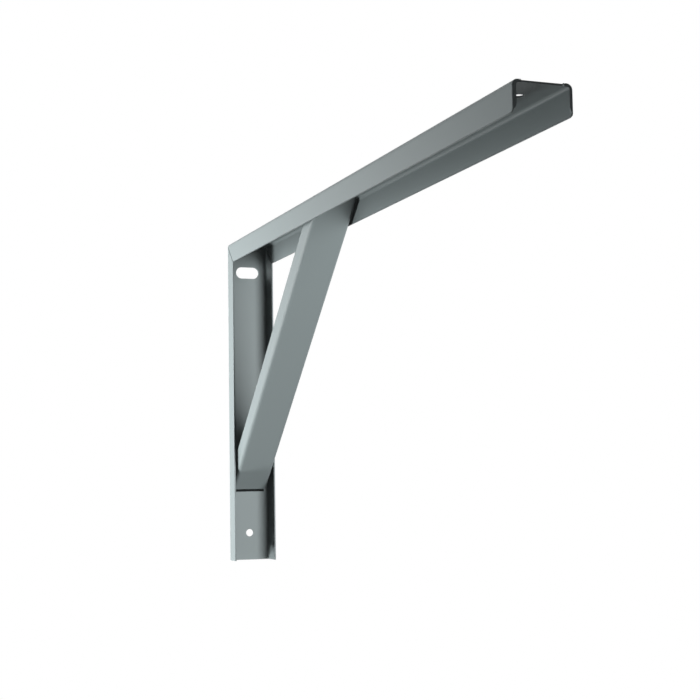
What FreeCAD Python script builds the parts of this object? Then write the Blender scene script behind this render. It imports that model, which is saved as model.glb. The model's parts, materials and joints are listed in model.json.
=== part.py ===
import FreeCAD, Part
import math
import os

# Angle bracket for a shelf: a wall channel and a shelf arm, mitred together at the
# corner, with a narrower channel set between them as a diagonal brace.
# All three are U-channels folded from one gauge of sheet steel and welded inside.
#
# Frame: millimetres. X runs out from the wall, Y across the bracket, Z up.
# The origin is the middle of the wall channel's back face, in the wall plane.

# Overall sizes
UPRIGHT_HEIGHT = 304.0  # wall channel, from the shelf plane down to its lower end
ARM_LENGTH = 600.5  # shelf arm, from the wall plane to the front of its end lips

# Section of the wall channel and the shelf arm
CHANNEL_WIDTH = 40.0
CHANNEL_DEPTH = 20.0  # from the back of the web to the flanges' free edges
SHEET = 1.2
BEND_INNER_RADIUS = 2.8
MITRE_GAP = 0.5  # narrow seam between the two mitred ends

# Diagonal brace
BRACE_DEPTH = 16.0
BRACE_BEND_INNER_RADIUS = 1.8
BRACE_SIDE_GAP = 2.2  # between the brace and the flanges on each side of it
BRACE_END_GAP = 1.5  # between the brace's cut ends and the webs they face
BRACE_FOOT_DROP = 238.3  # shelf plane down to where the brace's face meets the upright's web
BRACE_HEAD_REACH = 260.0  # wall plane out to where the brace's face meets the arm's web

# Wall fixings, both on the centre line of the upright
SLOT_LENGTH = 22.5  # end to end, across the web
SLOT_HEIGHT = 11.0
SLOT_DROP = 27.4  # shelf plane down to the slot's centre
WALL_HOLE_DIAMETER = 7.0
WALL_HOLE_RISE = 25.5  # lower end of the upright up to the hole's centre

# Shelf fixing, on the centre line of the arm
SHELF_HOLE_DIAMETER = 7.0
SHELF_HOLE_SETBACK = 31.2  # front of the end lips back to the hole's centre

# Free end of the arm: each flange turns inwards as a narrow lip, which follows the
# bend round onto the top, and the web between the two lips is cut back a little
LIP_INNER_RADIUS = 0.2
LIP_FLAT = 1.05  # flat of the lip past its bend
LIP_TOP_REACH = 1.9  # how far the lip runs along the top, past the channel's bend
WEB_SETBACK = 2.9  # front of the lips back to the web's end
END_CORNER_RADIUS = 5.5  # lower front corner of each flange, carried on across its lip

# Welds, all on the inside
WELD_LEG = 3.0
WELD_END_MARGIN = 2.0  # a bead stops this far short of a free edge
SEAM_WELD_WIDTH = 4.0  # bead along the mitre, on each flange
SEAM_WELD_HEIGHT = 0.9

# Worked out from the sizes above
TOP = UPRIGHT_HEIGHT / 2
BOTTOM = -UPRIGHT_HEIGHT / 2
HALF_WIDTH = CHANNEL_WIDTH / 2
BEND_RADIUS = BEND_INNER_RADIUS + SHEET
BRACE_HALF_WIDTH = HALF_WIDTH - SHEET - BRACE_SIDE_GAP
BRACE_BEND_RADIUS = BRACE_BEND_INNER_RADIUS + SHEET
LIP_RADIUS = LIP_INNER_RADIUS + SHEET
LIP_WIDTH = LIP_RADIUS + LIP_FLAT
LIP_ROOT = ARM_LENGTH - LIP_RADIUS  # where the plain channel ends and the lips begin
FOOT_Z = TOP - BRACE_FOOT_DROP
BRACE_ANGLE = math.atan2(BRACE_FOOT_DROP - SHEET, BRACE_HEAD_REACH - SHEET)
BRACE_WELD_REACH = WELD_LEG + BRACE_END_GAP  # across the end gap and onto the brace
FAR = 2 * (ARM_LENGTH + UPRIGHT_HEIGHT)  # longer than anything that is cut

X_AXIS = FreeCAD.Vector(1, 0, 0)
Y_AXIS = FreeCAD.Vector(0, 1, 0)
Z_AXIS = FreeCAD.Vector(0, 0, 1)


def point(x, y, z):
    return FreeCAD.Vector(x, y, z)


def arc(centre, radius, towards_start, towards_end):
    """Quarter arc between two directions at right angles, seen from its centre."""
    start = centre + towards_start * radius
    end = centre + towards_end * radius
    middle = centre + (towards_start + towards_end).normalize() * radius
    return Part.Arc(start, middle, end).toShape()


def line(start, end):
    return Part.LineSegment(start, end).toShape()


def polygon_face(corners):
    return Part.Face(Part.makePolygon(corners + [corners[0]]))


def channel(half_width, depth, inner_radius, start, along, inward, length):
    """U-channel: start is the middle of the web's outer face at one end.

    along runs down its length, and inward points from the web to the open side.
    """
    outer_radius = inner_radius + SHEET

    def at(across, deep):
        return start + Y_AXIS * across + inward * deep

    left = -Y_AXIS
    right = Y_AXIS
    outward = inward * -1
    flat = half_width - outer_radius
    inside = half_width - SHEET
    edges = [
        line(at(-half_width, depth), at(-half_width, outer_radius)),
        arc(at(-flat, outer_radius), outer_radius, left, outward),
        line(at(-flat, 0), at(flat, 0)),
        arc(at(flat, outer_radius), outer_radius, outward, right),
        line(at(half_width, outer_radius), at(half_width, depth)),
        line(at(half_width, depth), at(inside, depth)),
        line(at(inside, depth), at(inside, outer_radius)),
        arc(at(flat, outer_radius), inner_radius, right, outward),
        line(at(flat, SHEET), at(-flat, SHEET)),
        arc(at(-flat, outer_radius), inner_radius, outward, left),
        line(at(-inside, outer_radius), at(-inside, depth)),
        line(at(-inside, depth), at(-half_width, depth)),
    ]
    return Part.Face(Part.Wire(edges)).extrude(along * length)


def outer_channel(start, along, inward, length):
    """Length of the channel that the upright and the arm are both cut from."""
    return channel(HALF_WIDTH, CHANNEL_DEPTH, BEND_INNER_RADIUS, start, along, inward, length)


def mitre_tool(side):
    """Wedge past the mitre plane: side 1 covers the arm's side, -1 the upright's."""
    shift = side * MITRE_GAP / 2 * math.sqrt(2)
    corner = point(0, -FAR / 2, TOP - shift)
    ahead = point(FAR, 0, -FAR)
    aside = point(FAR, 0, FAR) * side
    corners = [corner - ahead, corner + ahead, corner + ahead + aside, corner - ahead + aside]
    return polygon_face(corners).extrude(Y_AXIS * FAR)


def round_hole(centre, axis, diameter):
    """Drill through one web: centre is on its outer face and axis runs into it."""
    return Part.makeCylinder(diameter / 2, SHEET * 3, centre - axis * SHEET, axis)


def wall_slot():
    """Cutter for the level slot with round ends, through the upright's web."""
    radius = SLOT_HEIGHT / 2
    half_straight = SLOT_LENGTH / 2 - radius
    centre = point(-SHEET, 0, TOP - SLOT_DROP)
    block = Part.makeBox(
        SHEET * 3,
        2 * half_straight,
        SLOT_HEIGHT,
        centre + point(0, -half_straight, -radius),
    )
    for side in (-1, 1):
        end = Part.makeCylinder(radius, SHEET * 3, centre + Y_AXIS * side * half_straight, X_AXIS)
        block = block.fuse(end)
    return block.removeSplitter()


def upright_channel():
    """Wall channel: web on the wall, flanges forward, mitred at the top."""
    body = outer_channel(point(0, 0, BOTTOM), Z_AXIS, X_AXIS, UPRIGHT_HEIGHT)
    hole_centre = point(0, 0, BOTTOM + WALL_HOLE_RISE)
    body = body.cut(mitre_tool(1))
    body = body.cut(wall_slot())
    return body.cut(round_hole(hole_centre, X_AXIS, WALL_HOLE_DIAMETER))


def end_lip(side):
    """Lip at the arm's free end, on the side where Y has this sign.

    Its section is drawn where the flange meets the bend, with the depth measured in
    from the flange's outer face. The section runs down the flange, turns with the
    bend and ends a little way along the top.
    """
    spring_z = TOP - BEND_RADIUS

    def at(x, deep):
        return point(x, side * (HALF_WIDTH - deep), spring_z)

    outward = Y_AXIS * side
    centre = at(LIP_ROOT, LIP_RADIUS)
    edges = [
        arc(centre, LIP_RADIUS, outward, X_AXIS),
        line(at(ARM_LENGTH, LIP_RADIUS), at(ARM_LENGTH, LIP_WIDTH)),
        line(at(ARM_LENGTH, LIP_WIDTH), at(ARM_LENGTH - SHEET, LIP_WIDTH)),
        line(at(ARM_LENGTH - SHEET, LIP_WIDTH), at(ARM_LENGTH - SHEET, LIP_RADIUS)),
        arc(centre, LIP_INNER_RADIUS, X_AXIS, outward),
        line(at(LIP_ROOT, SHEET), at(LIP_ROOT, 0)),
    ]
    section = Part.Face(Part.Wire(edges))
    down = CHANNEL_DEPTH - BEND_RADIUS
    bend_axis = point(0, side * (HALF_WIDTH - BEND_RADIUS), spring_z)
    turned = section.copy()
    turned.rotate(bend_axis, X_AXIS, side * 90)
    lip = section.extrude(Z_AXIS * -down)
    lip = lip.fuse(section.revolve(bend_axis, X_AXIS, side * 90))
    return lip.fuse(turned.extrude(Y_AXIS * -side * LIP_TOP_REACH))


def corner_round(corner, back, sweep):
    """Cutter that rounds a lower corner, which runs up and back, along a sweep."""
    radius = END_CORNER_RADIUS
    centre = corner + (back + Z_AXIS) * radius
    start = corner + back * radius
    end = corner + Z_AXIS * radius
    edges = [
        arc(centre, radius, Z_AXIS * -1, back * -1),
        line(end, corner),
        line(corner, start),
    ]
    return Part.Face(Part.Wire(edges)).extrude(sweep)


def end_corner_tools():
    """Cutters for the lower corners of the free end, as if rounded before folding.

    The first rounds both flanges, seen from the side, and the others round each lip,
    seen from the front. Both radii start as far past the bend as the lip is wide.
    """
    edge_z = TOP - CHANNEL_DEPTH
    front = point(LIP_ROOT + LIP_WIDTH, -HALF_WIDTH, edge_z)
    tools = [corner_round(front, X_AXIS * -1, Y_AXIS * CHANNEL_WIDTH)]
    for side in (-1, 1):
        free_edge = point(ARM_LENGTH - SHEET, side * (HALF_WIDTH - LIP_WIDTH), edge_z)
        tools.append(corner_round(free_edge, Y_AXIS * side, X_AXIS * 2 * SHEET))
    return tools


def arm_channel():
    """Shelf arm: web on top, flanges down, mitred at the wall, lipped at the front."""
    body = outer_channel(point(0, 0, TOP), X_AXIS, Z_AXIS * -1, LIP_ROOT)
    body = body.cut(mitre_tool(-1))
    body = body.fuse([end_lip(1), end_lip(-1)])
    body = body.cut(end_corner_tools())
    top_half_width = HALF_WIDTH - BEND_RADIUS - LIP_TOP_REACH
    web_end = Part.makeBox(
        2 * WEB_SETBACK,
        2 * top_half_width,
        3 * SHEET,
        point(ARM_LENGTH - WEB_SETBACK, -top_half_width, TOP - 2 * SHEET),
    )
    body = body.cut(web_end)
    hole_centre = point(ARM_LENGTH - SHELF_HOLE_SETBACK, 0, TOP)
    body = body.cut(round_hole(hole_centre, Z_AXIS * -1, SHELF_HOLE_DIAMETER))
    return body.removeSplitter()


def brace_channel():
    """Diagonal channel, its web facing down and out, cut square to both webs."""
    along = point(math.cos(BRACE_ANGLE), 0, math.sin(BRACE_ANGLE))
    inward = point(-math.sin(BRACE_ANGLE), 0, math.cos(BRACE_ANGLE))
    run = math.hypot(BRACE_FOOT_DROP - SHEET, BRACE_HEAD_REACH - SHEET)
    spare = 2 * BRACE_DEPTH / math.sin(2 * BRACE_ANGLE)
    start = point(SHEET, 0, FOOT_Z) - along * spare
    body = channel(
        BRACE_HALF_WIDTH,
        BRACE_DEPTH,
        BRACE_BEND_INNER_RADIUS,
        start,
        along,
        inward,
        run + 2 * spare,
    )
    kept = Part.makeBox(
        FAR,
        CHANNEL_WIDTH,
        FAR,
        point(SHEET + BRACE_END_GAP, -HALF_WIDTH, TOP - SHEET - BRACE_END_GAP - FAR),
    )
    return body.common(kept)


def bead(corner, leg_a, leg_b, along, length):
    """Fillet weld in a corner: two legs at right angles and a flat face between."""
    ends = [corner, corner + leg_a, corner + leg_b]
    return polygon_face(ends).extrude(along * length)


def corner_weld():
    """Bead across the inside of the corner, between the two webs."""
    length = 2 * (HALF_WIDTH - BEND_RADIUS)
    corner = point(SHEET, -length / 2, TOP - SHEET)
    return bead(corner, X_AXIS * WELD_LEG, Z_AXIS * -WELD_LEG, Y_AXIS, length)


def mitre_side_welds():
    """Low rounded bead along the mitre on the inside of each flange."""
    run_start = SHEET + WELD_LEG + SEAM_WELD_WIDTH / 2
    run_end = CHANNEL_DEPTH - WELD_END_MARGIN
    along = point(1, 0, -1).normalize()
    across = point(1, 0, 1).normalize()
    beads = []
    for side in (-1, 1):
        root = point(run_start, side * (HALF_WIDTH - SHEET), TOP - run_start)
        inward = Y_AXIS * -side
        left = root - across * (SEAM_WELD_WIDTH / 2)
        right = root + across * (SEAM_WELD_WIDTH / 2)
        crown = Part.Arc(left, root + inward * SEAM_WELD_HEIGHT, right).toShape()
        section = Part.Face(Part.Wire([crown, line(right, left)]))
        beads.append(section.extrude(along * ((run_end - run_start) * math.sqrt(2))))
    return Part.Compound(beads)


def brace_foot_welds():
    """Upright beads inside the brace, from its flanges to the upright's web."""
    inner_face = BRACE_HALF_WIDTH - SHEET
    corner_height = BRACE_BEND_RADIUS / math.cos(BRACE_ANGLE) + BRACE_WELD_REACH * math.tan(BRACE_ANGLE)
    low = FOOT_Z + corner_height + WELD_END_MARGIN
    high = FOOT_Z + BRACE_DEPTH / math.cos(BRACE_ANGLE) - WELD_END_MARGIN
    beads = []
    for side in (-1, 1):
        corner = point(SHEET, side * inner_face, low)
        legs = (X_AXIS * BRACE_WELD_REACH, Y_AXIS * -side * WELD_LEG)
        beads.append(bead(corner, *legs, Z_AXIS, high - low))
    return Part.Compound(beads)


def brace_head_welds():
    """Level beads inside the brace, from its flanges to the arm's web."""
    inner_face = BRACE_HALF_WIDTH - SHEET
    under = TOP - SHEET
    corner_reach = BRACE_BEND_RADIUS / math.sin(BRACE_ANGLE) + BRACE_WELD_REACH / math.tan(BRACE_ANGLE)
    near = BRACE_HEAD_REACH - BRACE_DEPTH / math.sin(BRACE_ANGLE) + WELD_END_MARGIN
    far = BRACE_HEAD_REACH - corner_reach - WELD_END_MARGIN
    beads = []
    for side in (-1, 1):
        corner = point(near, side * inner_face, under)
        legs = (Z_AXIS * -BRACE_WELD_REACH, Y_AXIS * -side * WELD_LEG)
        beads.append(bead(corner, *legs, X_AXIS, far - near))
    return Part.Compound(beads)


NODES = {
    "upright_channel": upright_channel,
    "arm_channel": arm_channel,
    "brace_channel": brace_channel,
    "corner_weld": corner_weld,
    "mitre_side_welds": mitre_side_welds,
    "brace_foot_welds": brace_foot_welds,
    "brace_head_welds": brace_head_welds,
}


def main():
    os.makedirs("parts", exist_ok=True)
    for name, build in NODES.items():
        shape = build()
        shape.exportStep(os.path.join("parts", name + ".step"))
        print(f"{name}: {len(shape.Solids)} solids, {shape.Volume:.1f} mm3, valid {shape.isValid()}")


main()
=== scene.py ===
"""Looks of a welded shelf bracket: folded steel channels under a pale grey powder coat.

Each channel is drawn as its flat blank, with its holes and cut ends, and then folded
by a formula. Lengths inside the blanks are millimetres; finished meshes are metres.
"""
import json
import logging
import math
from dataclasses import dataclass, field
from enum import Enum

import bmesh
import bpy
import numpy as np
from mathutils import Matrix, Vector


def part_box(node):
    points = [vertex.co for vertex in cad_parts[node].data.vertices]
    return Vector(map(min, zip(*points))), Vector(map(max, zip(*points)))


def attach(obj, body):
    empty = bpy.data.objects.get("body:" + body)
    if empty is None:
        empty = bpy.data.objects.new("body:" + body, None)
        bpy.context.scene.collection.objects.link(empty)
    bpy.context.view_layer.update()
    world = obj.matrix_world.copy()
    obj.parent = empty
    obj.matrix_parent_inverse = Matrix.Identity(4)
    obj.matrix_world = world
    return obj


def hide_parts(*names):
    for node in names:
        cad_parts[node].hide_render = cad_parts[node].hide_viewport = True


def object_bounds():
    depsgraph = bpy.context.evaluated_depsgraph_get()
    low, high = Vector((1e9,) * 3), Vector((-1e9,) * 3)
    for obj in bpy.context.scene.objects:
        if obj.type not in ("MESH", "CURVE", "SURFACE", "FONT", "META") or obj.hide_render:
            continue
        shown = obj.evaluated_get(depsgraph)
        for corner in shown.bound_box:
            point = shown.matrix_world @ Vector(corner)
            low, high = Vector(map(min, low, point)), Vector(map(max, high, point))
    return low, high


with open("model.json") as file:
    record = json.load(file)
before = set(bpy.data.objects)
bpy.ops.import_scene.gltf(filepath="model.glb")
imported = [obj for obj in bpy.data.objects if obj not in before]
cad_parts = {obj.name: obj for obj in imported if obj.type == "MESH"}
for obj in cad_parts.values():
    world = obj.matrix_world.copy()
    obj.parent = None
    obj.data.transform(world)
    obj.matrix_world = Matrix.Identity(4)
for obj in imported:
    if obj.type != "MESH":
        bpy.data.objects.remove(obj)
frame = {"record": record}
CAD_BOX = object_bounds()

LOG = logging.getLogger("bracket")
MM = 0.001
ROOT = "root"
WHITE = (1.0, 1.0, 1.0, 1.0)
OUT = Vector((1, 0, 0))
ACROSS = Vector((0, 1, 0))
UP = Vector((0, 0, 1))
DOWN = Vector((0, 0, -1))
NORMAL_WEIGHT = 80
# Points within MERGE_DISTANCE, in metres, are one. SLACK is small beside 1 mm or 1.
MERGE_DISTANCE = 1e-7
SLACK = 1e-6
Value = float | bpy.types.NodeSocket


class Section(Enum):
    """How a weld bead sits: in a corner between two faces, or flat on one face.

    The value is the angle that the bead's section sweeps, in degrees.
    """

    CORNER = 90.0
    FLAT = 180.0


@dataclass(frozen=True)
class CoatFinish:
    """Satin powder coat, in linear colour.

    Tone and roughness move by their swings either way. The orange peel is peel_scale
    cycles per metre and peel_height metres high, and rim_tone is how much paler the
    coat gets where it gathers at a cut edge.
    """

    name: str
    color: tuple[float, float, float]
    roughness: float
    roughness_swing: float
    specular: float
    tone_swing: float
    peel_scale: float
    peel_height: float
    rim_tone: float


SHEET_COAT = CoatFinish(
    name="powder_coat_sheet",
    color=(0.357, 0.42, 0.426),
    roughness=0.45,
    roughness_swing=0.05,
    specular=0.25,
    tone_swing=0.03,
    peel_scale=900.0,
    peel_height=0.00002,
    rim_tone=0.10,
)
WELD_COAT = CoatFinish(
    name="powder_coat_weld",
    color=(0.34, 0.40, 0.406),
    roughness=0.48,
    roughness_swing=0.08,
    specular=0.25,
    tone_swing=0.05,
    peel_scale=1400.0,
    peel_height=0.00003,
    rim_tone=0.0,
)


@dataclass(frozen=True)
class PaintedJointShade:
    """Where the coat is shaded at the joints, in metres in the row frame.

    The seam is painted shade in the groove along the mitre, from shelf_height down by
    seam_depth. The foot's line is a painted shadow under the brace's foot, a box round
    (foot_x, 0, foot_z), and each foot_reach is half of one side.
    """

    shelf_height: float
    seam_depth: float
    seam_width: float
    seam_shade: float
    foot_x: float
    foot_z: float
    foot_reach_x: float
    foot_reach_y: float
    foot_reach_z: float
    foot_shade: float
    softness: float

    @property
    def seam_from(self) -> float:
        """Height above which the seam is shaded."""
        return self.shelf_height - self.seam_depth


# Painted shade: a near-black painted shadow under the brace's foot and a darker painted groove
# along the mitre, both darkening the coat's colour.
PAINTED_JOINT_SHADE = PaintedJointShade(
    shelf_height=CAD_BOX[1][2],
    seam_depth=0.0205,
    seam_width=0.0011,
    seam_shade=0.45,
    foot_x=0.0012,
    foot_z=-0.0861,
    foot_reach_x=0.0003,
    foot_reach_y=0.0144,
    foot_reach_z=0.0010,
    foot_shade=0.95,
    softness=0.0003,
)


@dataclass(frozen=True)
class EndCut:
    """Cut across a channel: distance along it is offset + slope x depth, in mm."""

    offset: float
    slope: float


@dataclass(frozen=True)
class Hole:
    """Punched hole on a web's centre line, as a round or as a slot across the web.

    along is the distance from the channel's own zero, in mm, and half_straight is
    half the slot's straight length, which is 0 for a round hole.
    """

    along: float
    radius: float
    half_straight: float = 0.0


@dataclass(frozen=True)
class Lips:
    """Inward lips at a channel's far end, which follow the bend onto the web.

    corner_radius rounds the lower corner of each flange, on across its lip.
    """

    radius: float
    flat: float
    top_reach: float
    web_setback: float
    corner_radius: float

    @property
    def developed(self) -> float:
        """Length of the lip in the flat blank, measured on its outer face."""
        return self.radius * math.pi / 2 + self.flat

    def unroll(self, reach: np.ndarray) -> np.ndarray:
        """Blank distance past the root of a point whose folded reach is given.

        The reach is the distance past the root up to the front of the bend, and then
        goes on along the flat. In the bend it is radius x sin(angle), so the blank
        distance there is radius x arcsin(reach / radius).

        Args:
            reach: Folded distances past the root, which may be negative.

        Returns:
            The same points' distances past the root in the flat blank.
        """
        turned = self.radius * np.arcsin(np.clip(reach / self.radius, 0, 1))
        return np.minimum(reach, 0) + turned + np.maximum(reach - self.radius, 0)


def steps(start: float, stop: float, target: float) -> np.ndarray:
    """Evenly spaced values from start to stop, about target apart.

    Args:
        start: First value.
        stop: Last value.
        target: Wanted spacing, which is met as nearly as whole steps allow.

    Returns:
        The values, both ends included.
    """
    count = max(1, round(abs(stop - start) / target))
    return np.linspace(start, stop, count + 1)


def link_mesh(name: str, points: np.ndarray, faces: list[list[int]]) -> bpy.types.Object:
    """Makes a smooth-shaded object from points in metres.

    Args:
        name: Name of the piece.
        points: Array of shape (n, 3).
        faces: Lists of point indices, turned so that each faces outwards.

    Returns:
        The object, linked into the scene at the origin.
    """
    mesh = bpy.data.meshes.new(name)
    mesh.from_pydata(points.tolist(), [], faces)
    mesh.validate()
    mesh.shade_smooth()
    piece = bpy.data.objects.new(name, mesh)
    bpy.context.scene.collection.objects.link(piece)
    return piece


def open_edges(quads: np.ndarray) -> np.ndarray:
    """Directed edges that only one quad uses, which are the outline of a blank.

    Args:
        quads: Array of shape (m, 4), all wound the same way.

    Returns:
        Array of shape (k, 2), each edge directed as its quad winds it.
    """
    edges = np.concatenate([quads[:, [i, (i + 1) % 4]] for i in range(4)])
    key = np.sort(edges, axis=1)
    _, inverse, counts = np.unique(key, axis=0, return_inverse=True, return_counts=True)
    return edges[counts[inverse.ravel()] == 1]


def ring_quads(layers: np.ndarray) -> np.ndarray:
    """Quads between closed rings of points, from each ring to the next.

    Args:
        layers: Point numbers, as an array of shape (rings, points).

    Returns:
        Array of shape (m, 4).
    """
    turned = np.roll(layers, -1, axis=1)
    corners = [layers[:-1], turned[:-1], turned[1:], layers[1:]]
    return np.stack(corners, axis=-1).reshape(-1, 4)


@dataclass
class Blank:
    """Flat pattern of a channel: points (s, v) in mm, and quads wound anticlockwise.

    s runs across the blank from the middle of the web, measured on the outer face,
    and v runs along the channel. lean is how far the cut at a point leans along the
    channel for each mm of depth, which is 0 away from the ends.
    """

    points: np.ndarray
    lean: np.ndarray
    quads: np.ndarray

    def outline_normals(self) -> tuple[np.ndarray, np.ndarray]:
        """Unit directions, pointing into the sheet, at the points of the outline.

        The direction at a point is the sum of the inward normals of its two edges,
        lengthened so that a move along it keeps the distance from both edges.

        Returns:
            The outline's directed edges, and an array of shape (n, 2) that is zero
            at the points inside the blank.
        """
        edges = open_edges(self.quads)
        run = self.points[edges[:, 1]] - self.points[edges[:, 0]]
        run /= np.linalg.norm(run, axis=1, keepdims=True)
        left = np.stack([-run[:, 1], run[:, 0]], axis=1)
        total = np.zeros_like(self.points)
        np.add.at(total, edges[:, 0], left)
        np.add.at(total, edges[:, 1], left)
        square = (total**2).sum(axis=1, keepdims=True)
        inward = np.where(square > 0, 2 * total / np.maximum(square, SLACK), 0.0)
        return edges, inward


@dataclass
class Grid:
    """A blank while it is cut: a grid of points, and the cells that are still sheet.

    across and rows are the columns' and the rows' coordinates, index numbers the
    point at each crossing, and keep marks the cells that are sheet. After the grid's
    own points, points and leans hold those of the rings round the holes.
    """

    across: np.ndarray
    rows: np.ndarray
    index: np.ndarray
    keep: np.ndarray
    points: np.ndarray
    leans: np.ndarray

    def cells(self) -> np.ndarray:
        """Quads of the cells that are still sheet."""
        index = self.index
        corners = [index[:-1, :-1], index[1:, :-1], index[1:, 1:], index[:-1, 1:]]
        return np.stack(corners, axis=-1)[self.keep]

    def open_window(self, along: float, reach_s: float, reach_v: float) -> np.ndarray:
        """Takes a window's cells out of the sheet.

        Args:
            along: Distance along the channel of the window's middle.
            reach_s: How far the window reaches to each side of the web's middle.
            reach_v: How far it reaches from its own middle each way along the channel.

        Returns:
            Numbers of the points round the window, in the order of the quads' winding.
        """
        columns = np.flatnonzero(np.abs(self.across) <= reach_s + SLACK)
        rows = np.flatnonzero(np.abs(self.rows - along) <= reach_v + SLACK)
        c0, c1, r0, r1 = columns[0], columns[-1], rows[0], rows[-1]
        self.keep[c0:c1, r0:r1] = False
        index = self.index
        return np.concatenate(
            [index[c0:c1, r0], index[c1, r0:r1], index[c1:c0:-1, r1], index[c0, r1:r0:-1]]
        )

    def add_rings(self, rings: np.ndarray) -> np.ndarray:
        """Adds rings of points, where no cut leans.

        Args:
            rings: Blank points, as an array of shape (rings, points, 2).

        Returns:
            The points' numbers, as an array of shape (rings, points).
        """
        numbers = len(self.points) + np.arange(rings.size // 2).reshape(rings.shape[:2])
        self.points = np.concatenate([self.points, rings.reshape(-1, 2)])
        self.leans = np.concatenate([self.leans, np.zeros(numbers.size)])
        return numbers


@dataclass
class FoldedChannel:
    """U-channel folded from one blank, with rounded sheared edges.

    start is the middle of the web's outer face at the channel's zero. along runs
    down its length, and inward points from the web to the open side. All are in the
    row frame, and every size is in mm. The mesh is closer over edge_zone at the free
    edges and in a window of window_margin round each hole, where ring_shares are how
    far each ring lies on the way to the rim. rim_fade is how far a cut edge's mark
    reaches.
    """

    name: str
    width: float
    depth: float
    bend_radius: float
    sheet: float
    start: Vector
    along: Vector
    inward: Vector
    near_cut: EndCut
    far_cut: EndCut
    finish: CoatFinish
    holes: list[Hole] = field(default_factory=list)
    lips: Lips | None = None
    edge_radius: float = 0.25
    edge_steps: int = 3
    bend_steps: int = 12
    corner_steps: int = 8
    lip_steps: int = 7
    web_steps: int = 16
    column_spacing: float = 2.2
    row_spacing: float = 9.0
    window_spacing: float = 2.0
    window_margin: float = 4.4
    ring_shares: tuple[float, ...] = (0.35, 0.65, 0.86, 1.0)
    end_zone: float = 12.0
    edge_zone: float = 3.2
    rim_fade: float = 1.2

    @property
    def flat(self) -> float:
        """Half the width of the web's flat."""
        return self.width / 2 - self.bend_radius

    @property
    def bend_end(self) -> float:
        """Blank coordinate where the bend ends and the flange begins."""
        return self.flat + self.bend_radius * math.pi / 2

    @property
    def half_blank(self) -> float:
        """Blank coordinate of the flange's free edge."""
        return self.bend_end + self.depth - self.bend_radius

    def section(self, s: np.ndarray) -> tuple[np.ndarray, np.ndarray, np.ndarray, np.ndarray]:
        """Outer face of the folded section, and its normal into the sheet.

        The web is y = s. The bend turns by an angle of (|s| - flat) / radius, up to
        90 degrees, and past that the flange runs straight down.

        Args:
            s: Blank coordinates across the channel.

        Returns:
            y and depth of the face, and the normal's y and depth parts.
        """
        side = np.sign(s)
        far = np.abs(s)
        angle = np.clip((far - self.flat) / self.bend_radius, 0, math.pi / 2)
        run = np.minimum(far, self.flat)
        drop = np.maximum(far - self.bend_end, 0)
        y = side * (run + self.bend_radius * np.sin(angle))
        depth = self.bend_radius * (1 - np.cos(angle)) + drop
        return y, depth, -side * np.sin(angle), np.cos(angle)

    def fold(self, points: np.ndarray, lean: np.ndarray, deep: np.ndarray | float) -> np.ndarray:
        """Carries blank points to where they lie on the folded channel, in metres.

        Past the root of the lips, a point turns by (v - root) / radius about the
        lip's own bend, up to 90 degrees, and then runs straight across the end.

        Args:
            points: Blank points (s, v), in mm.
            lean: How far a cut leans along the channel for each mm of depth.
            deep: Depth below the sheet's outer face, in mm.

        Returns:
            Array of shape (n, 3) in the row frame.
        """
        y, depth, normal_y, normal_depth = self.section(points[:, 0])
        run = points[:, 1] + lean * deep * normal_depth
        push = np.zeros_like(run) + deep
        if self.lips:
            past = np.maximum(points[:, 1] - self.lip_root, 0)
            angle = np.minimum(past / self.lips.radius, math.pi / 2)
            turned = self.lip_root + (self.lips.radius - deep) * np.sin(angle)
            straight = np.maximum(past - self.lips.radius * math.pi / 2, 0)
            inwards = self.lips.radius - (self.lips.radius - deep) * np.cos(angle) + straight
            run = np.where(past > 0, turned, run)
            push = np.where(past > 0, inwards, push)
        y = y + normal_y * push
        depth = depth + normal_depth * push
        axes = np.array([self.along, (0, 1, 0), self.inward], float)
        place = np.stack([run, y, depth], axis=1) @ axes
        return (place + np.array(self.start, float)) * MM

    @property
    def lip_root(self) -> float:
        """Distance along the channel where the lips begin to turn."""
        return self.far_cut.offset - self.lips.radius if self.lips else self.far_cut.offset

    def columns(self) -> np.ndarray:
        """Blank coordinates of the columns, from one free edge to the other.

        Where the channel has lips, the columns near the free edge follow the angles
        of the rounded corner, so that its arc is even.

        Returns:
            The coordinates, rising.
        """
        zone = self.lips.corner_radius if self.lips else self.edge_zone
        corner = zone * (1 - np.cos(np.linspace(0, math.pi / 2, self.corner_steps + 1)))
        flange = steps(self.half_blank - zone, self.bend_end, self.column_spacing)[1:]
        bend = np.linspace(self.bend_end, self.flat, self.bend_steps + 1)[1:]
        half = np.concatenate([self.half_blank - corner, flange, bend])
        web = np.linspace(-self.flat, self.flat, self.web_steps + 1)[1:-1]
        extra = [self.flat - self.lips.top_reach] if self.lips else []
        web = np.unique(np.round(np.concatenate([web, extra, np.negative(extra)]), 6))
        return np.concatenate([-half, web, half[::-1]])

    def rows(self) -> np.ndarray:
        """Distances along the web of the rows, with a few close rows at each hole.

        Returns:
            The distances, rising, and on round the lips' bend where there are lips.
        """
        stop = self.far_cut.offset - (self.lips.web_setback if self.lips else 0.0)
        marks = [self.near_cut.offset]
        for hole in sorted(self.holes, key=lambda h: h.along):
            reach = hole.radius + self.window_margin
            marks += [hole.along - reach, hole.along + reach]
        marks.append(stop)
        spacings = [self.row_spacing, self.window_spacing] * len(self.holes)
        spacings.append(self.row_spacing)
        parts = [steps(a, b, gap)[:-1] for a, b, gap in zip(marks, marks[1:], spacings)]
        tail = [stop]
        if self.lips:
            turn = np.linspace(0, self.lips.radius * math.pi / 2, self.lip_steps + 1)
            tail += list(self.lip_root + turn) + [self.lip_root + self.lips.developed]
        return np.concatenate([*parts, tail])

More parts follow.
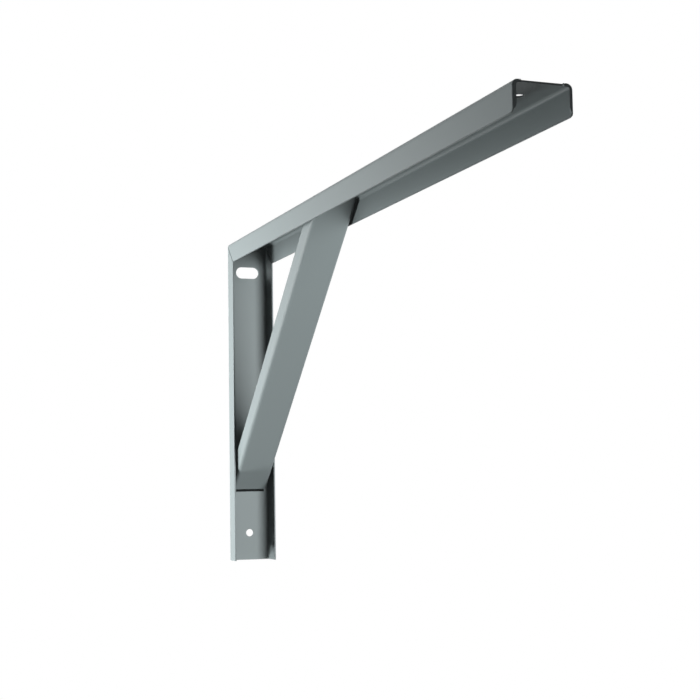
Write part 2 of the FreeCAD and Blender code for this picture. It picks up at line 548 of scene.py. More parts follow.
    def blank(self) -> Blank:
        """Flat pattern: a grid, less the cells beyond its outline and in its holes.

        Rows lean near each end, so that the first and last follow the cut lines. The
        shift at a row falls linearly to nothing over the zone at that end. Round a
        hole the grid gives way to rings that go from the window's edge to the rim.

        Returns:
            The blank, with the points that its quads use.
        """
        across, rows = self.columns(), self.rows()
        s, v = np.meshgrid(across, rows, indexing="ij")
        depth = self.section(s)[1]
        zone = self.depth + self.end_zone
        near_share = np.clip(1 - (v - rows[0]) / zone, 0, 1)
        far_share = np.clip(1 - (self.far_cut.offset - v) / zone, 0, 1)
        lean = near_share * self.near_cut.slope + far_share * self.far_cut.slope
        v = v + lean * depth
        keep = np.ones((len(across) - 1, len(rows) - 1), bool)
        if self.lips:
            self.shape_free_end(s, v, rows, keep)
        points = np.stack([s.ravel(), v.ravel()], axis=1)
        index = np.arange(s.size).reshape(s.shape)
        grid = Grid(across, rows, index, keep, points, lean.ravel())
        rings = [self.punch(hole, grid) for hole in self.holes]
        quads = np.concatenate([grid.cells(), *rings])
        used, compact = np.unique(quads, return_inverse=True)
        return Blank(grid.points[used], grid.leans[used], compact.reshape(-1, 4))

    def shape_free_end(
        self, s: np.ndarray, v: np.ndarray, rows: np.ndarray, keep: np.ndarray
    ) -> None:
        """Rounds the lower corners, on across the lips, and frees the web between them.

        A column whose height above the free edge is less than the corner's radius
        ends on its arc, whose reach is lip width - radius + sqrt(radius^2 - over^2),
        where over is radius - height. The column's rows squeeze to meet the arc.

        Args:
            s: Columns' coordinates over the grid.
            v: Rows' distances over the grid, changed in place.
            rows: Rows' distances on the web.
            keep: Which cells are sheet, changed in place.
        """
        lips = self.lips
        radius = lips.corner_radius
        over = np.clip(radius - self.half_blank + np.abs(s[:, 0]), 0, radius)
        reach = lips.radius + lips.flat - radius + np.sqrt(radius**2 - over**2)
        arc_end = self.lip_root + lips.unroll(reach)
        squeeze_from = self.lip_root - self.end_zone
        share = np.clip((v - squeeze_from) / (rows[-1] - squeeze_from), 0, 1)
        moved = squeeze_from + share * (arc_end[:, None] - squeeze_from)
        v[:] = np.where((over[:, None] > 0) & (v > squeeze_from), moved, v)
        root_row = int(np.argmin(np.abs(rows - self.lip_root)))
        middle = (s[:-1, 0] + s[1:, 0]) / 2
        between_lips = np.abs(middle) < self.flat - lips.top_reach
        keep[between_lips, root_row - 1:] = False

    def punch(self, hole: Hole, grid: Grid) -> np.ndarray:
        """Opens a window in the web's grid and fills it with rings round a hole.

        A window point goes to the rim point that is nearest to it: q is the point of
        the slot's middle line nearest to it, and the rim is at q plus the radius
        along the line from q to the point. The rings lie between the two.

        Args:
            hole: The hole to punch.
            grid: The blank's grid, which loses the window and gains the rings.

        Returns:
            The rings' quads.
        """
        reach = hole.radius + self.window_margin
        loop = grid.open_window(hole.along, min(self.flat, hole.half_straight + reach), reach)
        window = grid.points[loop]
        middle = np.clip(window[:, 0], -hole.half_straight, hole.half_straight)
        spine = np.stack([middle, np.full(len(loop), hole.along)], axis=1)
        ray = window - spine
        rim = spine + hole.radius * ray / np.linalg.norm(ray, axis=1, keepdims=True)
        shares = np.array(self.ring_shares)[:, None, None]
        numbers = grid.add_rings(window + shares * (rim - window))
        return ring_quads(np.concatenate([loop[None], numbers]))

    def build(self) -> bpy.types.Object:
        """Folds the blank's two faces and joins them by rounded edges.

        Going round an edge, the outline moves towards the cut by
        edge radius x (1 - sin(angle)) while its depth goes by
        edge radius x (1 - cos(angle)), and the same in reverse on the inner face.

        Returns:
            The channel, on its body, with its finish and its material slot.
        """
        blank = self.blank()
        edges, inward = blank.outline_normals()
        angle = np.linspace(0, math.pi / 2, self.edge_steps + 1)
        inset = self.edge_radius * (1 - np.sin(angle))
        deep = self.edge_radius * (1 - np.cos(angle))
        insets = np.concatenate([inset, inset[::-1]])
        depths = np.concatenate([deep, self.sheet - deep[::-1]])
        rim = np.unique(edges)
        outer = self.fold(blank.points + inward * insets[0], blank.lean, 0.0)
        inner = self.fold(blank.points + inward * insets[-1], blank.lean, self.sheet)
        between = [
            self.fold(blank.points[rim] + inward[rim] * step, blank.lean[rim], depth)
            for step, depth in zip(insets[1:-1], depths[1:-1])
        ]
        size = len(blank.points)
        to_rim = np.full(size, -1)
        to_rim[rim] = np.arange(len(rim))
        layers = [edges]
        layers += [2 * size + k * len(rim) + to_rim[edges] for k in range(len(between))]
        layers.append(size + edges)
        strips = [
            np.stack([low[:, 1], low[:, 0], high[:, 0], high[:, 1]], axis=1)
            for low, high in zip(layers, layers[1:])
        ]
        faces = np.concatenate([blank.quads, size + blank.quads[:, ::-1], *strips])
        points = np.concatenate([outer, inner, *between])
        if self.faces_inwards():
            faces = faces[:, ::-1]
        piece = link_mesh(self.name, points, faces.tolist())
        self.mark_rims(piece, blank, rim, len(between))
        return dress(piece, self.finish, replaced=self.name.removesuffix("_folded"))

    def faces_inwards(self) -> bool:
        """True if the blank's winding would turn the outer face into the channel."""
        return ACROSS.cross(self.along).dot(self.inward) > 0

    def mark_rims(
        self, piece: bpy.types.Object, blank: Blank, rim: np.ndarray, layers: int
    ) -> None:
        """Stores, at each point, how near it is to a cut edge: 1 on it, 0 far away.

        The mark is exp(-gap / rim_fade), where the gap is the distance on the blank
        to the nearest point of the outline.

        Args:
            piece: The finished channel.
            blank: Its flat pattern.
            rim: Indices of the blank's outline points.
            layers: Number of outline copies between the two faces.
        """
        gaps = np.full(len(blank.points), np.inf)
        for point in blank.points[rim]:
            gaps = np.minimum(gaps, np.linalg.norm(blank.points - point, axis=1))
        near = np.exp(-gaps / self.rim_fade)
        values = np.concatenate([near, near, np.ones(layers * len(rim))]).astype(np.float32)
        attribute = piece.data.attributes.new("rim", "FLOAT", "POINT")
        attribute.data.foreach_set("value", values)


@dataclass
class WeldBead:
    """Rippled weld bead, in mm in the row frame.

    side_a and side_b run from the root to the bead's two edges in a corner. On a
    flat face side_a runs to one edge, and side_b to the bead's top.
    """

    root: Vector
    along: Vector
    side_a: Vector
    side_b: Vector
    length: float
    section: Section = Section.CORNER
    ripple: float = 0.05
    pitch: float = 1.5
    bulge: float = 1.6
    end_power: int = 10
    section_steps: int = 12
    ring_spacing: float = 0.3
    least_rings: int = 24

    def surface(self) -> tuple[np.ndarray, list[list[int]]]:
        """Bead as a section carried along its root, closed at both ends.

        Across the bead the point is root + size x (a cos^bulge + b sin^bulge) of an
        angle from 0 to 90 degrees, or a plain half ellipse on a flat face. size is
        near 1 and ripples along the bead, each ripple lagging at the bead's sides,
        and it shrinks to nothing over the last mm or so at each end.

        Returns:
            Points in metres, and the faces.
        """
        angle = np.radians(np.linspace(0, self.section.value, self.section_steps + 1))
        count = max(self.least_rings, round(self.length / self.ring_spacing))
        run = np.linspace(0, self.length, count)
        power = self.bulge if self.section is Section.CORNER else 1.0
        weight_a = np.sign(np.cos(angle)) * np.abs(np.cos(angle)) ** power
        weight_b = np.abs(np.sin(angle)) ** power
        middle = np.sin(angle * 180.0 / self.section.value)
        lag = self.pitch / 2 * (1 - middle)
        phase = 2 * math.pi * (run[:, None] + lag[None, :]) / self.pitch
        share = np.abs(2 * run / self.length - 1)
        end_share = (1 - share**self.end_power) ** 0.5
        size = end_share[:, None] * (1 - self.ripple * (1 + np.cos(phase)) * middle[None, :])
        a, b = np.array(self.side_a, float), np.array(self.side_b, float)
        reach = weight_a[:, None] * a + weight_b[:, None] * b
        line = np.array(self.root, float) + run[:, None] * np.array(self.along, float)
        skin = line[:, None, :] + size[..., None] * reach[None]
        rings = np.concatenate([skin, line[:, None, :]], axis=1)
        quads = ring_quads(np.arange(rings.size // 3).reshape(rings.shape[:2]))
        inwards = self.side_a.cross(self.side_b).dot(self.along) < 0
        if inwards:
            quads = quads[:, ::-1]
        return rings.reshape(-1, 3) * MM, quads.tolist()


def merge_seams(piece: bpy.types.Object) -> None:
    """Merges points that lie on each other, so that seams and poles are closed.

    Args:
        piece: The piece, whose mesh is changed.
    """
    work = bmesh.new()
    work.from_mesh(piece.data)
    bmesh.ops.remove_doubles(work, verts=work.verts, dist=MERGE_DISTANCE)
    bmesh.ops.dissolve_degenerate(work, edges=work.edges, dist=MERGE_DISTANCE)
    work.to_mesh(piece.data)
    work.free()


def build_welds(
    name: str, node: str, beads: list[WeldBead], finish: CoatFinish
) -> bpy.types.Object:
    """Joins the beads that one node stands for into one piece.

    Args:
        name: Name of the piece.
        node: Name of the node that it stands for.
        beads: The beads.
        finish: Their finish.

    Returns:
        The piece, on its body, with its finish and its material slot.
    """
    all_points: list[np.ndarray] = []
    all_faces: list[list[int]] = []
    offset = 0
    for bead in beads:
        points, faces = bead.surface()
        all_points.append(points)
        all_faces += [[offset + i for i in face] for face in faces]
        offset += len(points)
    piece = link_mesh(name, np.concatenate(all_points), all_faces)
    merge_seams(piece)
    return dress(piece, finish, replaced=node)


def dress(piece: bpy.types.Object, finish: CoatFinish, replaced: str) -> bpy.types.Object:
    """Gives a piece its finish and its body, and hides the node that it stands for.

    No light bounces from piece to piece, because the photograph's channels are
    nearly black inside, where no lamp reaches.

    Args:
        piece: The finished piece.
        finish: Its coat.
        replaced: Name of the node that it stands for.

    Returns:
        The same piece.
    """
    piece.visible_diffuse = False
    piece.data.materials.append(Coat.material(finish))
    normals = piece.modifiers.new("weighted_normals", "WEIGHTED_NORMAL")
    normals.keep_sharp = True
    normals.weight = NORMAL_WEIGHT
    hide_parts(replaced)
    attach(piece, ROOT)
    LOG.info("%s: %d faces", piece.name, len(piece.data.polygons))
    return piece


class Coat:
    """Builds the powder coat's shared node groups and its materials, once each.

    The speckle is FINE_RATIO times as fine as the orange peel, adds FINE_HEIGHT of
    its height and has SPECK_SHARE of the coat's swing of tone. The drift of tone is
    DRIFT_SCALE cycles per metre.
    """

    GRAIN_GROUP = "powder_coat_grain"
    PAINTED_SHADE_GROUP = "powder_coat_painted_shade"
    FINE_RATIO = 3.4
    FINE_HEIGHT = 0.25
    SPECK_SHARE = 0.6
    DRIFT_SCALE = 9.0

    @staticmethod
    def grain_group() -> bpy.types.NodeTree:
        """Shared grain: orange peel, fine speckle, slow drift, and beads at the rims.

        Returns:
            Group with the inputs Peel Scale and Rim, and the outputs Height, Drift,
            Speck and Bead, over Object coordinates.
        """
        found = bpy.data.node_groups.get(Coat.GRAIN_GROUP)
        if found:
            return found
        group = bpy.data.node_groups.new(Coat.GRAIN_GROUP, "ShaderNodeTree")
        face = group.interface
        face.new_socket("Peel Scale", in_out="INPUT", socket_type="NodeSocketFloat")
        face.new_socket("Rim", in_out="INPUT", socket_type="NodeSocketFloat")
        for name in ("Height", "Drift", "Speck", "Bead"):
            face.new_socket(name, in_out="OUTPUT", socket_type="NodeSocketFloat")
        nodes, links = group.nodes, group.links
        given, result = nodes.new("NodeGroupInput"), nodes.new("NodeGroupOutput")
        place = nodes.new("ShaderNodeTexCoord")
        peel = noise(group, place, detail=1.0)
        links.new(given.outputs["Peel Scale"], peel.inputs["Scale"])
        fine_scale = worked_out(group, "MULTIPLY", given.outputs["Peel Scale"], Coat.FINE_RATIO)
        speck = noise(group, place, detail=2.0)
        links.new(fine_scale, speck.inputs["Scale"])
        drift = noise(group, place, detail=3.0, scale=Coat.DRIFT_SCALE)
        fine = worked_out(group, "MULTIPLY", speck.outputs["Fac"], Coat.FINE_HEIGHT)
        height = worked_out(group, "ADD", peel.outputs["Fac"], fine)
        bead = worked_out(group, "MULTIPLY", given.outputs["Rim"], drift.outputs["Fac"])
        links.new(height, result.inputs["Height"])
        links.new(drift.outputs["Fac"], result.inputs["Drift"])
        links.new(speck.outputs["Fac"], result.inputs["Speck"])
        links.new(bead, result.inputs["Bead"])
        return group

    @staticmethod
    def painted_shade_group() -> bpy.types.NodeTree:
        """Painted shade where sheets meet: up to 1 at the mitre and the brace's foot, and 0
        on the open coat.

        The mitre's painted shade is its strength x (1 - distance / width), where the distance
        is that from the plane x + z = shelf height, and it counts only above the
        flanges' free edges. The foot's line is a painted shadow, a box on the upright's web
        just under the brace, whose sides fade over the softness.

        Returns:
            Group with the output Shade, over Object coordinates.
        """
        found = bpy.data.node_groups.get(Coat.PAINTED_SHADE_GROUP)
        if found:
            return found
        line = PAINTED_JOINT_SHADE
        group = bpy.data.node_groups.new(Coat.PAINTED_SHADE_GROUP, "ShaderNodeTree")
        group.interface.new_socket("Shade", in_out="OUTPUT", socket_type="NodeSocketFloat")
        place = group.nodes.new("ShaderNodeTexCoord")
        split = group.nodes.new("ShaderNodeSeparateXYZ")
        group.links.new(place.outputs["Object"], split.inputs[0])
        x, y, z = split.outputs
        total = worked_out(group, "ADD", x, z)
        from_plane = away_from(group, total, line.shelf_height)
        near = worked_out(group, "DIVIDE", from_plane, line.seam_width * math.sqrt(2))
        soft = worked_out(group, "SUBTRACT", 1.0, near)
        clamped = worked_out(group, "MAXIMUM", soft, 0.0)
        high = worked_out(group, "GREATER_THAN", z, line.seam_from)
        seam = worked_out(group, "MULTIPLY", clamped, high)
        seam = worked_out(group, "MULTIPLY", seam, line.seam_shade)
        foot: Value = line.foot_shade
        for value, middle, reach in (
            (x, line.foot_x, line.foot_reach_x),
            (y, 0.0, line.foot_reach_y),
            (z, line.foot_z, line.foot_reach_z),
        ):
            distance = away_from(group, value, middle)
            inside = group.nodes.new("ShaderNodeMapRange")
            inside.inputs["From Min"].default_value = reach + line.softness
            inside.inputs["From Max"].default_value = reach
            group.links.new(distance, inside.inputs["Value"])
            foot = worked_out(group, "MULTIPLY", inside.outputs["Result"], foot)
        shade = worked_out(group, "MAXIMUM", seam, foot)
        result = group.nodes.new("NodeGroupOutput")
        group.links.new(shade, result.inputs["Shade"])
        return group

    @staticmethod
    def material(finish: CoatFinish) -> bpy.types.Material:
        """Satin coat: tone drifts and speckles a little, and is paler at cut edges.

        The colour is the finish's x (1 + tone) x (1 - painted shade), where the painted
        shade darkens the mitre and paints a shadow line under the brace's foot, and that
        shade is added to the roughness too.

        Args:
            finish: The coat.

        Returns:
            The coat's one material.
        """
        found = bpy.data.materials.get(finish.name)
        if found:
            return found
        material = bpy.data.materials.new(finish.name)
        material.use_nodes = True
        tree = material.node_tree
        nodes, links = tree.nodes, tree.links
        shader = nodes["Principled BSDF"]
        shader.inputs["Specular IOR Level"].default_value = finish.specular
        grain = nodes.new("ShaderNodeGroup")
        grain.node_tree = Coat.grain_group()
        grain.inputs["Peel Scale"].default_value = finish.peel_scale
        rim = nodes.new("ShaderNodeAttribute")
        rim.attribute_name = "rim"
        links.new(rim.outputs["Fac"], grain.inputs["Rim"])
        drift = spread(tree, grain.outputs["Drift"], finish.tone_swing)
        speck = spread(tree, grain.outputs["Speck"], finish.tone_swing * Coat.SPECK_SHARE)
        tone = worked_out(tree, "ADD", drift, speck)
        edge = worked_out(tree, "MULTIPLY", grain.outputs["Bead"], finish.rim_tone)
        total = worked_out(tree, "ADD", tone, edge)
        level = worked_out(tree, "ADD", total, 1.0)
        # Painted shade: darkens the colour along the mitre and paints a shadow line under the
        # brace's foot.
        painted_shade = nodes.new("ShaderNodeGroup")
        painted_shade.node_tree = Coat.painted_shade_group()
        unshaded = worked_out(tree, "SUBTRACT", 1.0, painted_shade.outputs["Shade"])
        tint = nodes.new("ShaderNodeVectorMath")
        tint.operation = "SCALE"
        tint.inputs[0].default_value = finish.color
        links.new(worked_out(tree, "MULTIPLY", level, unshaded), tint.inputs["Scale"])
        links.new(tint.outputs[0], shader.inputs["Base Color"])
        shine = spread(tree, grain.outputs["Speck"], finish.roughness_swing)
        rough = worked_out(tree, "ADD", shine, finish.roughness)
        dull = worked_out(tree, "ADD", rough, painted_shade.outputs["Shade"])
        links.new(dull, shader.inputs["Roughness"])
        bump = nodes.new("ShaderNodeBump")
        bump.inputs["Distance"].default_value = finish.peel_height
        bump.inputs["Strength"].default_value = 1.0
        links.new(grain.outputs["Height"], bump.inputs["Height"])
        links.new(bump.outputs["Normal"], shader.inputs["Normal"])
        return material


def noise(
    tree: bpy.types.NodeTree, place: bpy.types.Node, detail: float, scale: float = 1.0
) -> bpy.types.Node:
    """Noise texture over the object's own coordinates.

    Args:
        tree: Node tree to add it to.
        place: The tree's Texture Coordinate node.
        detail: Number of finer layers of noise.
        scale: Cycles per metre, unless a socket is linked to give them.

    Returns:
        The texture's node.
    """
    node = tree.nodes.new("ShaderNodeTexNoise")
    node.inputs["Scale"].default_value = scale
    node.inputs["Detail"].default_value = detail
    tree.links.new(place.outputs["Object"], node.inputs["Vector"])
    return node


def worked_out(
    tree: bpy.types.NodeTree, operation: str, value: Value, other: Value
) -> bpy.types.NodeSocket:
    """Result of a math node, whose values are numbers or the sockets that give them.

    Args:
        tree: Node tree to add the node to.
        operation: The node's operation.
        value: First value.
        other: Second value.

    Returns:
        The node's output.
    """
    node = tree.nodes.new("ShaderNodeMath")
    node.operation = operation
    for slot, given in enumerate((value, other)):
        if isinstance(given, bpy.types.NodeSocket):
            tree.links.new(given, node.inputs[slot])
        else:
            node.inputs[slot].default_value = given
    return node.outputs[0]


def away_from(
    tree: bpy.types.NodeTree, value: bpy.types.NodeSocket, middle: float
) -> bpy.types.NodeSocket:
    """How far a value is from a middle, on either side."""
    apart = worked_out(tree, "SUBTRACT", value, middle)
    return worked_out(tree, "ABSOLUTE", apart, 0.0)


def spread(
    tree: bpy.types.NodeTree, value: bpy.types.NodeSocket, swing: float
) -> bpy.types.NodeSocket:
    """Maps a noise value of 0 to 1 onto -swing to +swing."""
    centred = worked_out(tree, "SUBTRACT", value, 0.5)
    return worked_out(tree, "MULTIPLY", centred, 2 * swing)


def seen_as_it_is(tree: bpy.types.NodeTree) -> bpy.types.NodeSocket:
    """Tells rays that look from rays that light.

    Args:
        tree: Node tree of the world or of the floor.

    Returns:
        Socket that is 1 for camera, mirror and glass rays, and 0 for all others.
    """
    path = tree.nodes.new("ShaderNodeLightPath").outputs
    mirror = worked_out(tree, "MAXIMUM", path["Is Camera Ray"], path["Is Glossy Ray"])
    return worked_out(tree, "MAXIMUM", mirror, path["Is Transmission Ray"])


@dataclass
class Bracket:
    """The whole bracket, with its sizes in mm, read from the frame where it has them."""

    finish: CoatFinish
    weld_finish: CoatFinish
    sheet: float = 1.2
    bend_radius: float = 4.0
    brace_bend_radius: float = 3.0
    brace_depth: float = 16.0
    brace_end_gap: float = 1.5
    foot_drop: float = 238.3
    head_reach: float = 260.0
    mitre_gap: float = 0.5
    slot_half_straight: float = 5.75
    slot_radius: float = 5.5
    weld_leg: float = 3.0
    seam_weld_height: float = 0.9
    seam_weld_half_width: float = 2.0
    seam_weld_ripple: float = 0.07
    lips: Lips = Lips(radius=1.4, flat=1.05, top_reach=1.9, web_setback=2.9, corner_radius=5.5)

    def __post_init__(self) -> None:
        """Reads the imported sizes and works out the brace's direction."""
        arm_low, arm_high = (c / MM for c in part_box("arm_channel"))
        up_low, up_high = (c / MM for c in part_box("upright_channel"))
        brace_low, brace_high = (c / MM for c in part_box("brace_channel"))
        self.top, self.bottom = arm_high.z, up_low.z
        self.length = arm_high.x
        self.depth = up_high.x
        self.width = arm_high.y - arm_low.y
        self.brace_width = brace_high.y - brace_low.y
        self.foot = self.top - self.foot_drop
        rise = self.foot_drop - self.sheet
        reach = self.head_reach - self.sheet
        self.angle = math.atan2(rise, reach)
        self.mounts = {m["name"]: m for m in frame["record"]["mounts"]}

    def mount_point(self, name: str) -> Vector:
        """A mount's place, in mm."""
        return Vector(self.mounts[name]["pos_m"]) / MM

    def mount_radius(self, name: str) -> float:
        """A round mount's radius, in mm."""
        return self.mounts[name]["dims"]["r_mm"]

    def from_corner(
        self,
        name: str,
        along: Vector,
        inward: Vector,
        length: float,
        holes: list[Hole],
        lips: Lips | None = None,
    ) -> FoldedChannel:
        """Channel of the full width, from the mitre to a square far end.

        Args:
            name: Name of the piece.
            along: Direction down its length.
            inward: Direction from its web to its open side.
            length: Distance from the corner to its far end.
            holes: Holes in its web.
            lips: Lips at its far end.

        Returns:
            The channel, ready to build.
        """
        return FoldedChannel(
            name=name,
            width=self.width,
            depth=self.depth,
            bend_radius=self.bend_radius,
            sheet=self.sheet,
            start=Vector((0, 0, self.top)),
            along=along,
            inward=inward,
            near_cut=EndCut(self.mitre_gap / math.sqrt(2), 1.0),
            far_cut=EndCut(length, 0.0),
            finish=self.finish,
            holes=holes,
            lips=lips,
        )

    def upright(self) -> FoldedChannel:
        """Wall channel, from the mitre down, with its slot and its screw hole.

        Returns:
            The channel, ready to build.
        """
        slot, hole = self.mount_point("wall_slot"), self.mount_point("lower_wall_hole")
        holes = [
            Hole(self.top - slot.z, self.slot_radius, self.slot_half_straight),
            Hole(self.top - hole.z, self.mount_radius("lower_wall_hole")),
        ]
        length = self.top - self.bottom
        return self.from_corner("upright_channel_folded", DOWN, OUT, length, holes)

    def arm(self) -> FoldedChannel:
        """Shelf arm, from the mitre out, with its screw hole and its lips.

        Returns:
            The channel, ready to build.
        """
        hole = self.mount_point("arm_front_hole")
        holes = [Hole(hole.x, self.mount_radius("arm_front_hole"))]
        return self.from_corner("arm_channel_folded", OUT, DOWN, self.length, holes, self.lips)

    def brace(self) -> FoldedChannel:
        """Diagonal channel, cut parallel to the two webs that it stands between.

        Returns:
            The channel, ready to build.
        """
        sine, cosine = math.sin(self.angle), math.cos(self.angle)
        rise = self.foot_drop - self.sheet - self.brace_end_gap
        return FoldedChannel(
            name="brace_channel_folded",
            width=self.brace_width,
            depth=self.brace_depth,
            bend_radius=self.brace_bend_radius,
            sheet=self.sheet,
            start=Vector((self.sheet, 0, self.foot)),
            along=Vector((cosine, 0, sine)),
            inward=Vector((-sine, 0, cosine)),
            near_cut=EndCut(self.brace_end_gap / cosine, sine / cosine),
            far_cut=EndCut(rise / sine, -cosine / sine),
            finish=self.finish,
        )

    def corner_bead(self) -> list[WeldBead]:
        """Bead across the inside of the corner.

        Returns:
            The one bead.
        """
        low, high = (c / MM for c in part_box("corner_weld"))
        return [
            WeldBead(
                root=Vector((low.x, low.y, high.z)),
                along=ACROSS,
                side_a=Vector((self.weld_leg, 0, 0)),
                side_b=Vector((0, 0, -self.weld_leg)),
                length=high.y - low.y,
            )
        ]

    def foot_beads(self) -> list[WeldBead]:
        """Upright beads inside the brace, at its foot.

        Returns:
            The left bead and the right bead.
        """
        low, high = (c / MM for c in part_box("brace_foot_welds"))
        return [
            WeldBead(
                root=Vector((low.x, side * high.y, low.z)),
                along=UP,
                side_a=Vector((high.x - low.x, 0, 0)),
                side_b=Vector((0, -side * self.weld_leg, 0)),
                length=high.z - low.z,
            )
            for side in (-1, 1)
        ]

    def head_beads(self) -> list[WeldBead]:
        """Level beads inside the brace, at its head.

        Returns:
            The left bead and the right bead.
        """
        low, high = (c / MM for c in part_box("brace_head_welds"))
        return [
            WeldBead(
                root=Vector((low.x, side * high.y, high.z)),
                along=OUT,
                side_a=Vector((0, 0, low.z - high.z)),
                side_b=Vector((0, -side * self.weld_leg, 0)),
                length=high.x - low.x,
            )
            for side in (-1, 1)
        ]

    def seam_beads(self) -> list[WeldBead]:
        """Low beads along the mitre, on the inner face of each flange.

        Returns:
            The left bead and the right bead.
        """
        low, high = (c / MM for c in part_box("mitre_side_welds"))
        half = self.seam_weld_half_width
        across = Vector((1, 0, 1)).normalized()
        along = Vector((1, 0, -1)).normalized()
        trim = half / math.sqrt(2)
        start_x, end_x = low.x + trim, high.x - trim
        return [
            WeldBead(
                root=Vector((start_x, side * high.y, self.top - start_x)),
                along=along,
                side_a=across * half,
                side_b=Vector((0, -side * self.seam_weld_height, 0)),
                length=(end_x - start_x) * math.sqrt(2),
                section=Section.FLAT,
                ripple=self.seam_weld_ripple,
            )
            for side in (-1, 1)
        ]

    def build(self) -> None:
        """Builds and dresses every piece of the bracket."""
        for channel in (self.upright(), self.arm(), self.brace()):
            channel.build()
        for name, node, beads in (
            ("corner_bead", "corner_weld", self.corner_bead()),
            ("mitre_side_beads", "mitre_side_welds", self.seam_beads()),
            ("brace_foot_beads", "brace_foot_welds", self.foot_beads()),
            ("brace_head_beads", "brace_head_welds", self.head_beads()),
        ):
            build_welds(name, node, beads, self.weld_finish)


@dataclass(frozen=True)
class SoftLamp:
    """Square area lamp. Place and target are in metres, and power is in watts.

    flagged names a piece that is kept in the lamp's shade, as by a studio flag.
    """

    name: str
    place: tuple[float, float, float]
    target: tuple[float, float, float]
    size: float
    power: float
    flagged: str = ""

    def build(self) -> None:
        """Adds the lamp, hidden from the camera itself.

        The pieces are hidden from diffuse rays. Multiple importance sampling would
        also find the lamp by such rays, and so light what a piece should shade.
        """
        data = bpy.data.lights.new(self.name, "AREA")
        data.size = self.size
        data.energy = self.power
        data.cycles.use_multiple_importance_sampling = False
        lamp = bpy.data.objects.new(self.name, data)
        lamp.visible_camera = False
        lamp.location = self.place
        aim = Vector(self.target) - Vector(self.place)
        lamp.rotation_mode = "QUATERNION"
        lamp.rotation_quaternion = aim.to_track_quat("-Z", "Y")
        bpy.context.scene.collection.objects.link(lamp)

    def flag(self) -> None:
        """Keeps the lamp's light off its flagged piece, once that piece is built."""
        if self.flagged:
            shaded = bpy.data.collections.new(self.name + "_flag")
            shaded.objects.link(bpy.data.objects[self.flagged])
            shaded.collection_objects[0].light_linking.link_state = "EXCLUDE"
            bpy.data.objects[self.name].light_linking.receiver_collection = shaded


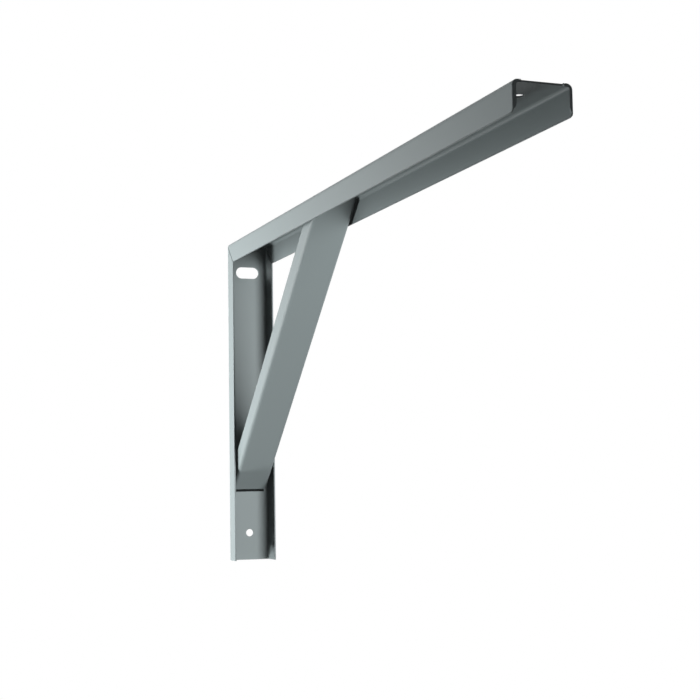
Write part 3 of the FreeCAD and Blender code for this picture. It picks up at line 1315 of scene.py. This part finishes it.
@dataclass
class Studio:
    """Camera, lamps, world and floor.

    The photograph's size, focal length and centre are in pixels, the turns are in
    degrees, the sensor is in mm and all other lengths are in metres.
    """

    image_size: float = 700.0
    focal_pixels: float = 1422.4
    centre_x: float = 347.4
    centre_y: float = 351.0
    place: tuple[float, float, float] = (1.3187, -0.3980, -0.0798)
    yaw: float = -20.822
    pitch: float = -5.267
    roll: float = -0.915
    sensor: float = 36.0
    clip_start: float = 0.01
    clip_end: float = 100.0
    ambient: float = 0.02
    floor_height: float = -1.1
    floor_size: float = 30.0
    floor_color: tuple[float, float, float, float] = (0.8, 0.8, 0.8, 1.0)
    floor_roughness: float = 0.9
    floor_white: float = 0.85
    shadow_reach: float = 2.0
    white_from: float = 4.5
    lamps: tuple[SoftLamp, ...] = (
        SoftLamp("left_lamp", (-0.18, -0.45, 0.07), (0.0, 0.0, 0.0), 0.4, 2.2),
        SoftLamp("low_left_lamp", (-0.08, -0.60, -0.30), (0.05, 0.0, 0.0), 0.15, 2.9),
        SoftLamp("front_lamp", (1.50, 0.50, 0.0), (0.0, 0.0, 0.0), 0.8, 16.5, "arm_channel_folded"),
        SoftLamp("back_right_lamp", (-0.60, 0.80, 0.90), (0.1, 0.0, 0.0), 0.6, 14.0),
    )

    def camera(self) -> None:
        """Camera at the photograph's place, turned by yaw, pitch and roll.

        It starts out looking along -X with +Y to the right. Its rows below are its
        right, down and forward directions in the row frame.
        """
        level = np.array([[0, 1, 0], [0, 0, -1], [-1, 0, 0]], float)
        a, b, c = (math.radians(t) for t in (self.yaw, self.pitch, self.roll))
        yaw = np.array([[math.cos(a), 0, math.sin(a)], [0, 1, 0], [-math.sin(a), 0, math.cos(a)]])
        pitch = np.array([[1, 0, 0], [0, math.cos(b), -math.sin(b)], [0, math.sin(b), math.cos(b)]])
        roll = np.array([[math.cos(c), -math.sin(c), 0], [math.sin(c), math.cos(c), 0], [0, 0, 1]])
        right, down, forward = roll @ pitch @ yaw @ level
        data = bpy.data.cameras.new("photo_camera")
        data.sensor_width = self.sensor
        data.lens = self.focal_pixels / self.image_size * self.sensor
        data.shift_x = (self.image_size / 2 - self.centre_x) / self.image_size
        data.shift_y = (self.centre_y - self.image_size / 2) / self.image_size
        data.clip_start = self.clip_start
        data.clip_end = self.clip_end
        camera = bpy.data.objects.new("photo_camera", data)
        turn = Matrix(np.stack([right, -down, -forward], axis=1).tolist())
        camera.rotation_mode = "QUATERNION"
        camera.rotation_quaternion = turn.to_quaternion()
        camera.location = self.place
        bpy.context.scene.collection.objects.link(camera)
        bpy.context.scene.camera = camera

    def world(self) -> None:
        """Even pale light, and plain white where the camera looks past the object."""
        world = bpy.data.worlds.new("studio")
        world.use_nodes = True
        tree = world.node_tree
        lit = tree.nodes["Background"]
        lit.inputs["Color"].default_value = WHITE
        lit.inputs["Strength"].default_value = self.ambient
        seen = tree.nodes.new("ShaderNodeBackground")
        seen.inputs["Color"].default_value = WHITE
        seen.inputs["Strength"].default_value = 1.0
        mix = tree.nodes.new("ShaderNodeMixShader")
        tree.links.new(seen_as_it_is(tree), mix.inputs["Fac"])
        tree.links.new(lit.outputs[0], mix.inputs[1])
        tree.links.new(seen.outputs[0], mix.inputs[2])
        tree.links.new(mix.outputs[0], tree.nodes["World Output"].inputs["Surface"])
        bpy.context.scene.world = world

    def floor(self) -> None:
        """Plain pale floor, which takes shadows near the object and is white far off.

        The share of white rises evenly with the distance from the origin, so that
        the floor's far edge meets the white world with no line.
        """
        half = self.floor_size / 2
        z = self.floor_height
        points = np.array([[-half, -half, z], [half, -half, z], [half, half, z], [-half, half, z]])
        floor = link_mesh("floor", points, [[0, 1, 2, 3]])
        material = bpy.data.materials.new("pale_floor")
        material.use_nodes = True
        tree = material.node_tree
        shader = tree.nodes["Principled BSDF"]
        shader.inputs["Base Color"].default_value = self.floor_color
        shader.inputs["Roughness"].default_value = self.floor_roughness
        glow = tree.nodes.new("ShaderNodeEmission")
        glow.inputs["Strength"].default_value = 1.0
        place = tree.nodes.new("ShaderNodeTexCoord")
        distance = tree.nodes.new("ShaderNodeVectorMath")
        distance.operation = "LENGTH"
        tree.links.new(place.outputs["Object"], distance.inputs[0])
        fade = tree.nodes.new("ShaderNodeMapRange")
        fade.inputs["From Min"].default_value = self.shadow_reach
        fade.inputs["From Max"].default_value = self.white_from
        fade.inputs["To Min"].default_value = self.floor_white
        tree.links.new(distance.outputs["Value"], fade.inputs["Value"])
        share = worked_out(tree, "MULTIPLY", seen_as_it_is(tree), fade.outputs["Result"])
        mix = tree.nodes.new("ShaderNodeMixShader")
        tree.links.new(share, mix.inputs["Fac"])
        tree.links.new(shader.outputs[0], mix.inputs[1])
        tree.links.new(glow.outputs[0], mix.inputs[2])
        tree.links.new(mix.outputs[0], tree.nodes["Material Output"].inputs["Surface"])
        floor.data.materials.append(material)
        floor.visible_diffuse = False

    def build(self) -> None:
        """Sets up the studio."""
        bpy.context.scene.view_settings.view_transform = "Standard"
        self.camera()
        self.world()
        self.floor()
        for lamp in self.lamps:
            lamp.build()


def main() -> None:
    """Builds the bracket and its studio."""
    logging.basicConfig(level=logging.INFO, format="%(name)s: %(message)s")
    studio = Studio()
    studio.build()
    Bracket(SHEET_COAT, WELD_COAT).build()
    for lamp in studio.lamps:
        lamp.flag()


if __name__ == "__main__":
    main()
